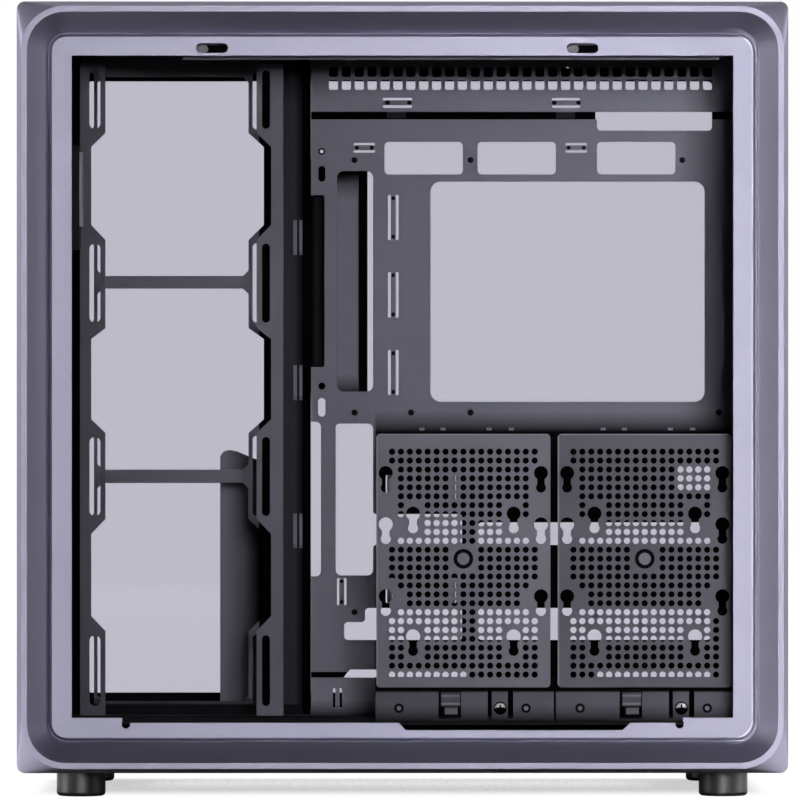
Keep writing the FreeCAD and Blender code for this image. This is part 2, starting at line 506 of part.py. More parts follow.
RAIL_SLOTS = [(409.4, 445.6), (289.1, 338.1), (169.1, 218.1), (51.1, 95.0)]
FRONT_RAIL_X, REAR_RAIL_X = -199.6, -73.6
fr_out = [(FRONT_RAIL_X, RAIL_Z[0]), (FRONT_RAIL_X, RAIL_Z[1])] + stepped(-183.8, -192.6)
fr = plate("xz", poly("xz", fr_out, Y_RAIL), [rounded("xz", -193.7, -186.9, a, b, 3.4, Y_RAIL) for a, b in RAIL_SLOTS],
           Y_RAIL, Y_RAIL + SHEET_T)
fr_wall = box(FRONT_RAIL_X, FRONT_RAIL_X + SHEET_T, Y_RAIL, Y_FAN, RAIL_Z[0], RAIL_Z[1])
save("fan_rail_front", fuse([fr, fr_wall]))
rr_out = [(REAR_RAIL_X, RAIL_Z[0]), (REAR_RAIL_X, RAIL_Z[1])] + stepped(-90.0, -81.0)
rr = plate("xz", poly("xz", rr_out, Y_RAIL), [rounded("xz", -86.6, -81.7, a, b, 2.45, Y_RAIL) for a, b in RAIL_SLOTS],
           Y_RAIL, Y_RAIL + SHEET_T)
rr_wall = box(REAR_RAIL_X - SHEET_T, REAR_RAIL_X, Y_RAIL, Y_FAN, RAIL_Z[0], RAIL_Z[1])
save("fan_rail_rear", fuse([rr, rr_wall]))

FW = [(318.6, 443.1), (197.4, 310.7), (52.5, 189.0)]


def fan_window(z1, z2, steps):
    xl, xlw, xr, xrw = -190.0, -196.0, -95.5, -85.9
    left, right = [], []
    for a, b, c, d in steps:
        left += [(xl, a), (xlw, b), (xlw, c), (xl, d)]
        right += [(xr, a), (xrw, b), (xrw, c), (xr, d)]
    cr = 3.5
    pts = [(xl + cr, z2), (xl, z2 - cr)] + left + [(xl, z1 + cr), (xl + cr, z1), (xr - cr, z1), (xr, z1 + cr)] + right[::-1] + [(xr, z2 - cr), (xr - cr, z2)]
    return poly("xz", pts, Y_FAN)


fan_holes = [fan_window(FW[0][0], FW[0][1], [(408.1, 399.3, 350.5, 341.1)]),
             fan_window(FW[1][0], FW[1][1], [(286.0, 279.1, 229.0, 220.3)]),
             fan_window(FW[2][0], FW[2][1], [(166.4, 157.1, 105.7, 96.3)])]
for a, b in ((410.5, 446.0), (289.5, 339.0), (168.5, 218.5), (49.4, 94.0)):
    fan_holes.append(rounded("xz", -197.9, -192.2, a, b, 2.4, Y_FAN))
    fan_holes.append(rounded("xz", -92.9, -88.0, a, b, 2.4, Y_FAN))
FAN_TIES = [(331.7, 353.6), (240.9, 262.8), (148.3, 169.9)]
save("fan_frame", plate("xz", rect("xz", -X_WALL, -56.6, Z_FLOOR, Z_ROOF, Y_FAN), fan_holes, Y_FAN, Y_FAN + SHEET_T))


def tie_bar(x1, x2, z1, z2):
    prof = [(Y_FAN, z1), (Y_FAN - 3.2, z1 + 2.4), (Y_FAN - 3.2, z2 - 2.4), (Y_FAN, z2)]
    return Part.Face(poly("yz", prof, x1)).extrude(V3(x2 - x1, 0, 0))


bridges += [tie_bar(x1, x2, z1, z2) for z1, z2 in FAN_TIES for x1, x2 in ((-67.5, -65.2), (-63.7, -61.8))]
save("tie_bridges", Part.makeCompound(bridges))

# black strip that closes the gap between the fan frame and the tray, wider behind the tray's upper notch
gap_pts = [(-61.5, 45.0, 0), (-56.5, 45.0, 0), (-56.5, 262.2, 0), (-46.7, 262.2, 1.0), (-46.7, 368.2, 1.0), (-56.5, 368.2, 0), (-56.5, 456.0, 0), (-61.5, 456.0, 0)]
save("gap_strip", plate("xz", rpoly("xz", gap_pts, Y_FAN - 2.0), [], Y_FAN - 2.0, Y_FAN))

# ---------------------------------------------------------------- covers in the main chamber
cc = [(-113.6, 44.0), (-113.6, 205.5), (-111.5, 208.5), (-108.0, 209.6), (-103.0, 208.6), (-92.0, 204.0), (-57.2, 196.0), (-57.2, 44.0)]
cc_plate = plate("xz", poly("xz", cc, 30.0), [], 30.0, 30.0 + SHEET_T)
cc_foot = box(-113.6, -57.2, 30.0, 44.0, 44.0, 44.0 + SHEET_T)
cc_return = box(-57.2 - SHEET_T, -57.2, Y_FAN + SHEET_T, 30.0, 120.0, 190.0)
save("cable_cover", fuse([cc_plate, cc_foot, cc_return]))

yf = Y_FAN + SHEET_T
sh = [(-58.5, yf), (-58.5, 23.2), (-25.5, 23.2), (-21.0, 10.0), (-22.3, 9.6), (-26.4, 22.0), (-57.3, 22.0), (-57.3, yf)]
save("cable_shroud", Part.Face(poly("xy", sh, 245.0)).extrude(V3(0, 0, 147.0)))

# ---------------------------------------------------------------- drive plates
KEY_SIDE_Z = (196.4, 164.9, 120.8)
KEY_IN_Z = (171.5, 96.2)
RING_Z = 143.8
ROWS = ([(0, 16)], [(0, 16)], [(1, 15)], [(1, 15)], [(1, 15)], [(1, 15)], [(1, 1), (4, 12), (15, 15)], [(1, 1), (4, 12), (15, 15)],
        [(4, 12)], [(4, 12)], [(1, 15)], [(0, 6), (10, 16)], [(0, 6), (10, 16)], [(0, 6), (10, 16)], [(0, 16)], [(1, 15)],
        [(2, 14)], [(2, 14)], [(1, 15)], [(0, 16)], [(0, 1), (4, 12), (15, 16)], [(0, 1), (4, 12), (15, 16)],
        [(0, 1), (4, 12), (15, 16)], [(0, 1), (4, 12), (15, 16)], [(0, 16)], [(0, 16)])


def drive_plate(x0):
    xm = x0 + PLATE_W / 2.0
    keys = [(xm + s * 47.625, z) for s in (-1, 1) for z in KEY_SIDE_Z] + [(xm + s * 30.86, z) for s in (-1, 1) for z in KEY_IN_Z]
    blocks = []
    for kx, kz in keys:
        blocks += [(kx, kz, 4.3), (kx, kz - 4.5, 2.4), (kx, kz - 8.95, 3.07)]
    blocks.append((xm, RING_Z, 6.1))
    holes = [keyhole("xz", kx, kz, 4.3, 3.07, 8.95, 4.66, Y_DRIVE) for kx, kz in keys]
    holes.append(ring_wire("xz", xm, RING_Z, 6.1, Y_DRIVE))
    for r, spans in enumerate(ROWS):
        z = 209.5 - r * DRIVE_PITCH
        for c1, c2 in spans:
            for c in range(c1, c2 + 1):
                x = xm + (c - 8) * DRIVE_PITCH
                if all(math.hypot(x - bx, z - bz) > br + DRIVE_HOLE_R + 0.25 for bx, bz, br in blocks):
                    holes.append(ring_wire("xz", x, z, DRIVE_HOLE_R, Y_DRIVE))
    outer = rounded("xz", x0, x0 + PLATE_W, PLATE_Z0, PLATE_Z1, 2.5, Y_DRIVE)
    p = plate("xz", outer, holes, Y_DRIVE, Y_DRIVE + SHEET_T)
    return p


NAMES = ("front", "rear")
HOOK_AT = (28.0, 41.0, 69.2, 82.9)       # hooks above the top edge of each plate
BRACKET_X = ((-16.5, 93.2), (94.4, 206.0))
Z_PIN = 51.9
LATCH_TRAVEL = 2.4
yb = Y_DRIVE + SHEET_T                   # back of the drive plates
yk = yb + 5.0                            # front of the brackets under them
grommets, studs, thumb, rings, pins = [], [], [], [], []


def latch(x0):
    # finger tab with a waved front, a narrower tip and a wider plate behind the bracket
    wave = [(yk + 0.8, 63.0), (yk - 1.6, 60.6), (yk - 0.6, 58.2), (yk - 2.2, 55.2), (yk - 2.2, 53.6),
            (yk - 0.9, 53.6), (yk - 0.9, 55.2), (yk + 0.7, 58.4), (yk - 0.2, 60.6), (yk + 1.4, 62.4), (yk + 1.4, 63.0)]
    tab = Part.Face(poly("yz", wave, x0 + 39.6)).extrude(V3(11.2, 0, 0))
    tip = [(yk - 0.9, 54.6), (yk - 2.0, 54.6), (yk - 2.0, 53.6), (yk - 0.4, 53.2), (yk - 1.6, 48.2), (yk - 0.4, 48.2), (yk + 0.8, 53.2)]
    lip = Part.Face(poly("yz", tip, x0 + 41.2)).extrude(V3(8.8, 0, 0))
    neck = box(x0 + 42.0, x0 + 49.0, yk - 0.4, yk + SHEET_T + 1.0, 59.6, 61.8)
    back = box(x0 + 36.6, x0 + 53.1, yk + SHEET_T + 0.4, yk + SHEET_T + 1.6, 52.0, 67.0)
    return fuse([tab, lip, neck, back])


def captive_screw(x):
    y0 = yk + 2.4
    head = cyl((0, -1, 0), x, y0, Z_PIN, 4.0, 3.4)
    head = head.makeFillet(1.5, [e for e in head.Edges if e.BoundBox.YMax < y0 - 3.3 and e.BoundBox.XLength > 1])
    s = fuse([head, cyl((0, 1, 0), x, y0 - 0.5, Z_PIN, 1.9, 8.0)])
    return s.cut([box(x - 2.3, x + 2.3, y0 - 4.0, y0 - 2.0, Z_PIN - 0.55, Z_PIN + 0.55),
                  box(x - 0.55, x + 0.55, y0 - 4.0, y0 - 2.0, Z_PIN - 2.3, Z_PIN + 2.3)])


for n, x0, bx in zip(NAMES, PLATE_X, BRACKET_X):
    xm = x0 + PLATE_W / 2.0
    save("drive_plate_" + n, drive_plate(x0))
    g = cyl((0, 1, 0), xm, Y_DRIVE - 0.6, RING_Z, 6.0, SHEET_T + 1.2).cut(cyl((0, 1, 0), xm, Y_DRIVE - 1.0, RING_Z, 3.75, 5.0))
    grommets.append(g)
    studs.append(cyl((0, 1, 0), xm, Y_DRIVE - 0.2, RING_Z, 3.7, SHEET_T + 0.8))
    # hanger from the tray to the top of the plate, with four hooks
    h = [box(x0 + 24.0, x0 + 87.0, yb, Y_TRAY, 213.8, 215.0), box(x0 + 24.0, x0 + 87.0, yb, yb + SHEET_T, 213.8, 219.6),
         box(x0 + 24.0, x0 + 87.0, Y_TRAY - SHEET_T, Y_TRAY, 203.0, 215.0)]
    for t in HOOK_AT:
        h += [box(x0 + t - 1.5, x0 + t + 1.5, yb + 3.0, yb + 3.0 + SHEET_T, 214.5, 224.2),
              box(x0 + t - 1.5, x0 + t + 1.5, yb - 0.3, yb + 3.0 + SHEET_T, 222.6, 224.2)]
    save("drive_hanger_" + n, fuse(h))
    # bracket on the floor behind the foot of the plate: latch window, screw recess and two grommet holes
    up_holes = [ring_wire("xz", x0 + 13.9, Z_PIN, 2.94, yk), ring_wire("xz", x0 + 92.0, Z_PIN, 2.94, yk),
                rounded("xz", x0 + 38.2, x0 + 52.0, 45.4, 66.4, 1.5, yk),
                rect("xz", x0 + 68.5, x0 + 84.1, 45.4, 66.4, yk)]
    up = plate("xz", rect("xz", bx[0], bx[1], Z_FLOOR, 71.0, yk), up_holes, yk, yk + SHEET_T)
    foot = box(bx[0], bx[1], yk, yk + 14.0, Z_FLOOR, Z_FLOOR + SHEET_T)
    strip = plate("xz", rect("xz", x0 + 71.0, x0 + 80.9, Z_FLOOR, 68.5, yk + 2.4), [ring_wire("xz", x0 + 76.2, Z_PIN, 2.1, yk + 2.4)],
                  yk + 2.4, yk + 2.4 + SHEET_T)
    save("drive_bracket_" + n, fuse([up, foot, strip]))
    save("drive_latch_" + n, latch(x0))
    thumb.append(captive_screw(x0 + 76.2))
    for t in (13.9, 92.0):
        ring = cyl((0, 1, 0), x0 + t, yk - 0.5, Z_PIN, 2.9, SHEET_T + 1.0)
        rings.append(ring.cut(cyl((0, 1, 0), x0 + t, yk - 1.0, Z_PIN, 1.42, 5.0)))
        pins.append(cyl((0, 1, 0), x0 + t, yk - 0.2, Z_PIN, 1.4, SHEET_T + 2.0))
# bush in the tray's upper front hole
rings.append(cyl((0, 1, 0), -49.6, Y_TRAY - 0.4, 396.0, 2.15, SHEET_T + 0.8).cut(cyl((0, 1, 0), -49.6, Y_TRAY - 1.0, 396.0, 1.15, 5.0)))
save("plate_grommets", Part.makeCompound(grommets))
save("plate_studs", Part.makeCompound(studs))
save("captive_screws", Part.makeCompound(thumb))
save("small_grommets", Part.makeCompound(rings))
save("bracket_pins", Part.makeCompound(pins))

# ---------------------------------------------------------------- feet
feet = []
for sx in (-1, 1):
    for sy in (-1, 1):
        f = cyl((0, 0, 1), sx * FOOT_X, sy * FOOT_Y, 14.0 - FOOT_H, FOOT_R, FOOT_H)
        f = f.makeFillet(2.5, [e for e in f.Edges if e.BoundBox.ZMax < 14.0 - FOOT_H + 0.01 and e.BoundBox.XLength > 1])
        feet.append(f)
save("feet", Part.makeCompound(feet))

# ---------------------------------------------------------------- glass left panel
gy = BODY_W / 2.0 - BEVEL_DEPTH + 0.3
glass = Part.Face(square(GLASS_HALF, 9.0, gy)).extrude(V3(0, GLASS_T, 0))
save("glass_panel", glass)
gstuds = [fuse([cyl((0, -1, 0), b - 5.5, gy, 455.4, 2.4, 0.25), cyl((0, -1, 0), b - 5.5, gy - 0.2, 455.4, 2.0, 6.0)]) for a, b in catch_slots]
save("glass_studs", Part.makeCompound(gstuds))
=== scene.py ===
import json
import math

import bpy
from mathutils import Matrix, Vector


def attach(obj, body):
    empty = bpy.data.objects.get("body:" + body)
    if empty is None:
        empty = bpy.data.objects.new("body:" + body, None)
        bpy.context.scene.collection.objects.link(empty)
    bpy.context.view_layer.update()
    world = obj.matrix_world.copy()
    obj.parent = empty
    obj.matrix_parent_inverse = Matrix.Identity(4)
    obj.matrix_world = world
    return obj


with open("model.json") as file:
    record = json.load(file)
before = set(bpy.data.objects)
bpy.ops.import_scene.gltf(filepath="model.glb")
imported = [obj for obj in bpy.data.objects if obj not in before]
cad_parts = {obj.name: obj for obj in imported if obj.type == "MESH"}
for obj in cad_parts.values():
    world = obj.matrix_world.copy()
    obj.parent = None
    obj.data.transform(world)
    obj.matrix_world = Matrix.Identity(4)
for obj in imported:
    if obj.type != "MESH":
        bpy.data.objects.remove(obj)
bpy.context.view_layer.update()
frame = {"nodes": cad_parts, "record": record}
nodes = frame["nodes"]
scene = bpy.context.scene
scene.view_settings.view_transform = "Standard"
scene.view_settings.look = "None"
AMBIENT = 0.006          # studio seen by diffuse bounces
AMBIENT_GLOSS = 0.07     # studio seen in satin metal
UNDER_CASE = 0.53        # floor brightness where the case shades it
FLOOR_GLOSS = 1.8        # floor seen in satin metal beside the case
FLOOR_FAR = 0.13         # share of that for the floor behind and well to the sides
SKY_BACK = 0.50          # studio above and behind the case, seen in satin metal


# ---------------------------------------------------------------- material helpers
def start(name):
    m = bpy.data.materials.new(name)
    m.use_nodes = True
    nt = m.node_tree
    nt.nodes.clear()
    out = nt.nodes.new("ShaderNodeOutputMaterial")
    bsdf = nt.nodes.new("ShaderNodeBsdfPrincipled")
    nt.links.new(bsdf.outputs["BSDF"], out.inputs["Surface"])
    coord = nt.nodes.new("ShaderNodeTexCoord")
    return m, nt, bsdf, coord


def noise(nt, coord, scale, detail=2.0, rough=0.5, stretch=None):
    n = nt.nodes.new("ShaderNodeTexNoise")
    n.inputs["Scale"].default_value = scale
    n.inputs["Detail"].default_value = detail
    n.inputs["Roughness"].default_value = rough
    if stretch:
        mp = nt.nodes.new("ShaderNodeMapping")
        mp.inputs["Scale"].default_value = stretch
        nt.links.new(coord.outputs["Object"], mp.inputs["Vector"])
        nt.links.new(mp.outputs["Vector"], n.inputs["Vector"])
    else:
        nt.links.new(coord.outputs["Object"], n.inputs["Vector"])
    return n


def ramp(nt, src, a, b, lo=0.35, hi=0.65):
    r = nt.nodes.new("ShaderNodeValToRGB")
    r.color_ramp.elements[0].position = lo
    r.color_ramp.elements[1].position = hi
    r.color_ramp.elements[0].color = (*a, 1.0)
    r.color_ramp.elements[1].color = (*b, 1.0)
    nt.links.new(src.outputs["Fac"], r.inputs["Fac"])
    return r


def remap(nt, socket, a, b, lo=0.0, hi=1.0, kind="LINEAR"):
    r = nt.nodes.new("ShaderNodeMapRange")
    r.interpolation_type = kind
    r.inputs["From Min"].default_value = a
    r.inputs["From Max"].default_value = b
    r.inputs["To Min"].default_value = lo
    r.inputs["To Max"].default_value = hi
    nt.links.new(socket, r.inputs["Value"])
    return r.outputs["Result"]


def math_node(nt, kind, a, b):
    n = nt.nodes.new("ShaderNodeMath")
    n.operation = kind
    for i, v in enumerate((a, b)):
        if isinstance(v, (int, float)):
            n.inputs[i].default_value = v
        else:
            nt.links.new(v, n.inputs[i])
    return n.outputs[0]


def mix_colour(nt, factor, a, b):
    n = nt.nodes.new("ShaderNodeMix")
    n.data_type = "RGBA"
    nt.links.new(factor, n.inputs[0])
    for i, v in ((6, a), (7, b)):
        if isinstance(v, tuple):
            n.inputs[i].default_value = (*v, 1.0)
        else:
            nt.links.new(v, n.inputs[i])
    return n.outputs[2]


def bump(nt, src, strength, distance):
    b = nt.nodes.new("ShaderNodeBump")
    b.inputs["Strength"].default_value = strength
    b.inputs["Distance"].default_value = distance
    nt.links.new(src.outputs["Fac"], b.inputs["Height"])
    return b


def coated(name, dark, light, rough, metal=0.0, grain=1800.0, grain_strength=0.15, spec=0.5, tint_scale=7.0, edge=0.0, zone=None):
    # a coated or moulded surface: slow tint drift, fine grain in gloss and relief, softened edges, optional zone of another finish
    m, nt, bsdf, coord = start(name)
    tint = noise(nt, coord, tint_scale, 3.0)
    colour = ramp(nt, tint, dark, light).outputs["Color"]
    g = noise(nt, coord, grain, 2.0)
    gloss = remap(nt, g.outputs["Fac"], 0.3, 0.7, rough - 0.05, rough + 0.05)
    if zone:
        factor, other = zone(nt, coord)
        colour = mix_colour(nt, factor, colour, other)
        gloss = math_node(nt, "MAXIMUM", gloss, factor)
    nt.links.new(colour, bsdf.inputs["Base Color"])
    nt.links.new(gloss, bsdf.inputs["Roughness"])
    relief = bump(nt, g, grain_strength, 0.0002)
    if edge:
        bv = nt.nodes.new("ShaderNodeBevel")
        bv.samples = 4
        bv.inputs["Radius"].default_value = edge
        nt.links.new(bv.outputs["Normal"], relief.inputs["Normal"])
    nt.links.new(relief.outputs["Normal"], bsdf.inputs["Normal"])
    bsdf.inputs["Metallic"].default_value = metal
    bsdf.inputs["Specular IOR Level"].default_value = spec
    return m


def xyz(nt, coord):
    s = nt.nodes.new("ShaderNodeSeparateXYZ")
    nt.links.new(coord.outputs["Object"], s.inputs[0])
    return s.outputs


# painted shade: the near-black that the zones below lay where shade or a dark reflection falls
PAINTED_SHADE_BLACK = (0.0010, 0.0010, 0.0016)


def painted_shade_behind_plates(nt, coord):
    # painted shade: the tray's near face is matt black behind the drive plates, fading out above them
    x, y, z = xyz(nt, coord)
    f = remap(nt, z, 0.2360, 0.2225)
    f = math_node(nt, "MULTIPLY", f, remap(nt, x, -0.0175, -0.0155))
    f = math_node(nt, "MULTIPLY", f, remap(nt, y, -0.0141, -0.0147))
    return f, PAINTED_SHADE_BLACK


def painted_shade_fan_frame(nt, coord):
    # painted shade: the fan frame's near face is darker outside its windows: at the front, on the column beside the
    # rear rail and along its foot
    x, y, z = xyz(nt, coord)
    f = math_node(nt, "SUBTRACT", remap(nt, x, -0.0895, -0.0885, 0.0, 0.97), remap(nt, x, -0.0765, -0.0750, 0.0, 0.14))
    f = math_node(nt, "ADD", f, remap(nt, x, -0.0670, -0.0610, 0.0, 0.17))
    f = math_node(nt, "MAXIMUM", f, remap(nt, x, -0.1990, -0.2000, 0.0, 0.97))
    foot = math_node(nt, "ADD", remap(nt, z, 0.0562, 0.0552, 0.0, 0.60), remap(nt, z, 0.0530, 0.0516, 0.0, 0.36))
    f = math_node(nt, "MAXIMUM", f, foot)
    f = math_node(nt, "MULTIPLY", f, remap(nt, y, 0.0060, 0.0054))
    return f, PAINTED_SHADE_BLACK


def painted_shade_near_floor(nt, coord):
    # painted shade: darkens towards the chassis floor, matt black behind the drive brackets
    x, y, z = xyz(nt, coord)
    return math_node(nt, "MAXIMUM", remap(nt, z, 0.0560, 0.0450, 0.0, 0.97), remap(nt, x, -0.0165, -0.0150)), PAINTED_SHADE_BLACK


def painted_shade_chamber_floor(nt, coord):
    # painted shade: the chassis floor is matt black in the cable chamber
    x, y, z = xyz(nt, coord)
    return remap(nt, y, -0.004, -0.012, 0.0, 0.93), PAINTED_SHADE_BLACK


def painted_shadow_bracket(nt, coord):
    # painted shadow: matt black where the bracket passes behind the plate's lower edge; painted shade darker towards
    # the chassis floor
    x, y, z = xyz(nt, coord)
    f = math_node(nt, "MAXIMUM", remap(nt, z, 0.0628, 0.0640), remap(nt, z, 0.0560, 0.0455, 0.0, 0.90))
    return f, PAINTED_SHADE_BLACK


def painted_shade_rail_tabs(nt, coord):
    # painted shade: matt black tabs below the upper rail
    x, y, z = xyz(nt, coord)
    return remap(nt, z, 0.4224, 0.4218, 0.0, 0.92), PAINTED_SHADE_BLACK


def painted_shade_lip(nt, coord):
    # painted shade: matt black where the roof lip closes the flange slots
    x, y, z = xyz(nt, coord)
    return remap(nt, z, 0.4534, 0.4540), PAINTED_SHADE_BLACK


def painted_shade_hangers(nt, coord):
    # painted shade: the hangers are matt black but for the tips of their hooks
    x, y, z = xyz(nt, coord)
    return remap(nt, z, 0.2243, 0.2237), PAINTED_SHADE_BLACK


def painted_shade_cover(nt, coord):
    # painted shade: the cable cover turns matt black towards the column
    x, y, z = xyz(nt, coord)
    return remap(nt, x, -0.1115, -0.0885), PAINTED_SHADE_BLACK


def painted_shadow_shroud(nt, coord):
    # painted shadow: the cable shroud turns matt black towards its ends and on its far side
    x, y, z = xyz(nt, coord)
    f = math_node(nt, "MAXIMUM", remap(nt, z, 0.3680, 0.3853, 0.0, 0.98), remap(nt, z, 0.2590, 0.2482, 0.0, 0.85))
    f = math_node(nt, "MAXIMUM", f, remap(nt, x, -0.0275, -0.0262))
    return math_node(nt, "MAXIMUM", f, remap(nt, x, -0.0395, -0.0420)), PAINTED_SHADE_BLACK


def painted_highlight_plate_rim(nt, coord):
    # painted highlight: paler line along the plates' front and upper edges
    x, y, z = xyz(nt, coord)
    f = math_node(nt, "MULTIPLY", remap(nt, x, -0.0148, -0.0152), remap(nt, x, -0.0165, -0.0161))
    g = math_node(nt, "MULTIPLY", remap(nt, x, 0.0965, 0.0961), remap(nt, x, 0.0948, 0.0952))
    f = math_node(nt, "MAXIMUM", math_node(nt, "MAXIMUM", f, g), remap(nt, z, 0.2210, 0.2214))
    return math_node(nt, "MULTIPLY", f, 0.55), (0.360, 0.352, 0.420)


def painted_reflection_screw_heads(nt, coord):
    # painted reflection and shade: blackened lower half, drive recess and rim of the captive screws' heads
    x, y, z = xyz(nt, coord)
    return math_node(nt, "MAXIMUM", remap(nt, z, 0.0542, 0.0530), remap(nt, y, -0.0975, -0.0971)), PAINTED_SHADE_BLACK


def painted_shade_and_highlight_groove(nt, coord):
    # painted shade: dark line of the groove between bevel and flange, a rounded rectangle, fainter towards the rear and
    # the top
    x, y, z = xyz(nt, coord)
    qx = math_node(nt, "SUBTRACT", math_node(nt, "ABSOLUTE", math_node(nt, "ADD", x, 0.0005), 0.0), 0.2022)
    qz = math_node(nt, "SUBTRACT", math_node(nt, "ABSOLUTE", math_node(nt, "SUBTRACT", z, 0.2510), 0.0), 0.2027)
    cx, cz = math_node(nt, "MAXIMUM", qx, 0.0), math_node(nt, "MAXIMUM", qz, 0.0)
    reach = math_node(nt, "SQRT", math_node(nt, "ADD", math_node(nt, "MULTIPLY", cx, cx), math_node(nt, "MULTIPLY", cz, cz)), 0.0)
    reach = math_node(nt, "ADD", reach, math_node(nt, "MINIMUM", math_node(nt, "MAXIMUM", qx, qz), 0.0))
    off = math_node(nt, "ABSOLUTE", math_node(nt, "SUBTRACT", reach, 0.013), 0.0)
    line = math_node(nt, "MULTIPLY", remap(nt, off, 0.0010, 0.0003), remap(nt, x, -0.20, 0.20, 0.58, 0.0))
    line = math_node(nt, "MULTIPLY", line, remap(nt, z, 0.455, 0.400))
    # painted highlights: at the rear the groove has a pale line on either side instead
    side = math_node(nt, "SUBTRACT", reach, 0.013)
    outer = math_node(nt, "MULTIPLY", remap(nt, side, 0.0004, 0.0009), remap(nt, side, 0.0031, 0.0024))
    inner = math_node(nt, "MULTIPLY", remap(nt, side, -0.0004, -0.0008), remap(nt, side, -0.0017, -0.0011))
    pale = math_node(nt, "MAXIMUM", outer, inner)
    pale = math_node(nt, "MULTIPLY", pale, remap(nt, x, 0.195, 0.212, 0.0, 0.75))
    shade = mix_colour(nt, remap(nt, x, 0.100, 0.195), (0.02, 0.02, 0.03), (0.92, 0.90, 1.0))
    return math_node(nt, "MAXIMUM", line, pale), shade


def painted_light_flap(nt, coord):
    # painted light: the wider flap of the gap strip is a little greyer
    x, y, z = xyz(nt, coord)
    return remap(nt, x, -0.0560, -0.0535), (0.016, 0.016, 0.020)


def painted_latch_light_and_shade(x0):
    # painted light and shade on the latch: two pale ribs as painted highlights, black undercut below them and black
    # round the tab and its lip as painted shade
    def zone(nt, coord):
        x, y, z = xyz(nt, coord)

        def band(lo, hi):
            return math_node(nt, "MULTIPLY", remap(nt, z, lo - 0.0003, lo + 0.0003), remap(nt, z, hi + 0.0003, hi - 0.0003))

        pale = math_node(nt, "MAXIMUM", band(0.0604, 0.0617), band(0.0554, 0.0569))
        black = math_node(nt, "MAXIMUM", remap(nt, z, 0.0629, 0.0634), remap(nt, x, x0 + 0.0402, x0 + 0.0396))
        black = math_node(nt, "MAXIMUM", black, math_node(nt, "MULTIPLY", band(0.0536, 0.0549), 0.9))
        black = math_node(nt, "MAXIMUM", black, remap(nt, x, x0 + 0.0511, x0 + 0.0516))
        ends = math_node(nt, "MAXIMUM", remap(nt, x, x0 + 0.0424, x0 + 0.0420), remap(nt, x, x0 + 0.0502, x0 + 0.0506))
        black = math_node(nt, "MAXIMUM", black, math_node(nt, "MULTIPLY", ends, remap(nt, z, 0.0545, 0.0540)))
        clear = math_node(nt, "SUBTRACT", 1.0, black)
        pale = math_node(nt, "MULTIPLY", pale, clear)
        return math_node(nt, "MAXIMUM", black, math_node(nt, "MULTIPLY", pale, 0.7)), mix_colour(nt, pale, PAINTED_SHADE_BLACK, (0.26, 0.255, 0.30))
    return zone


STEEL = ((0.166, 0.162, 0.209), (0.182, 0.178, 0.229))


def steel(name, zone=None, shades=STEEL):
    return coated(name, *shades, 0.62, 0.0, 1500.0, 0.20, 0.10, edge=0.0005, zone=zone)


MAT = {}
MAT["frame_aluminium"] = coated("anodised_aluminium", (0.318, 0.308, 0.400), (0.340, 0.330, 0.425), 0.56, 1.0, 2600.0, 0.04)
MAT["grooved_aluminium"] = coated("grooved_aluminium", (0.318, 0.308, 0.400), (0.340, 0.330, 0.425), 0.56, 1.0, 2600.0, 0.04, zone=painted_shade_and_highlight_groove)
MAT["chassis_steel"] = steel("dark_powder_coat")
MAT["tray_steel"] = steel("tray_powder_coat", painted_shade_behind_plates)
MAT["fan_frame_steel"] = steel("fan_frame_powder_coat", painted_shade_fan_frame)
MAT["lower_rail_steel"] = steel("lower_rail_powder_coat", painted_shade_near_floor, ((0.200, 0.195, 0.252), (0.218, 0.213, 0.274)))
MAT["upper_rail_steel"] = steel("upper_rail_powder_coat", painted_shade_rail_tabs, ((0.184, 0.180, 0.232), (0.201, 0.197, 0.253)))
MAT["floor_steel"] = steel("floor_powder_coat", painted_shade_chamber_floor)
MAT["lip_steel"] = steel("lip_powder_coat", painted_shade_lip)
MAT["cover_steel"] = steel("cover_powder_coat", painted_shade_cover)
MAT["shroud_steel"] = steel("shroud_powder_coat", painted_shadow_shroud)
# painted shade: the drive brackets' coat is a darker copy of the steel
MAT["painted_shade_bracket_steel"] = steel("painted_shade_bracket_coat", painted_shadow_bracket, ((0.106, 0.103, 0.132), (0.117, 0.114, 0.145)))
MAT["drive_steel"] = steel("grey_powder_coat", painted_highlight_plate_rim, ((0.188, 0.184, 0.227), (0.204, 0.200, 0.246)))
MAT["rear_plate_steel"] = steel("rear_plate_powder_coat", painted_highlight_plate_rim, ((0.120, 0.117, 0.145), (0.131, 0.128, 0.158)))
# painted shade: the front fan rail's coat is a darker copy of the steel
MAT["painted_shade_front_rail_steel"] = steel("painted_shade_front_rail_coat", None, ((0.132, 0.128, 0.166), (0.144, 0.140, 0.181)))
MAT["hanger_steel"] = steel("hanger_powder_coat", painted_shade_hangers)
# painted highlight: the port bracket's pale coat shows its edge as a lit line
MAT["edge_highlight_steel"] = steel("edge_highlight_powder_coat", None, ((0.450, 0.430, 0.545), (0.480, 0.460, 0.575)))
# painted shade: matt black coat for the front wall, the shroud's far wall and the inward face of the glass side's frame
MAT["shade_black_steel"] = coated("painted_shade_black_coat", (0.003, 0.003, 0.005), (0.005, 0.005, 0.007), 0.85, 0.0, 1500.0, 0.20, 0.03)
MAT["black_plastic"] = coated("black_moulded_plastic", (0.006, 0.006, 0.010), (0.009, 0.009, 0.014), 0.68, 0.0, 2200.0, 0.25, 0.12)
# painted shade: the near-black foam of the joint channels and slot pads stands in for the shade in those gaps
MAT["shade_black_foam"] = coated("black_foam_strip", (0.0010, 0.0010, 0.0016), (0.0018, 0.0018, 0.0026), 0.90, 0.0, 900.0, 0.30, 0.01)
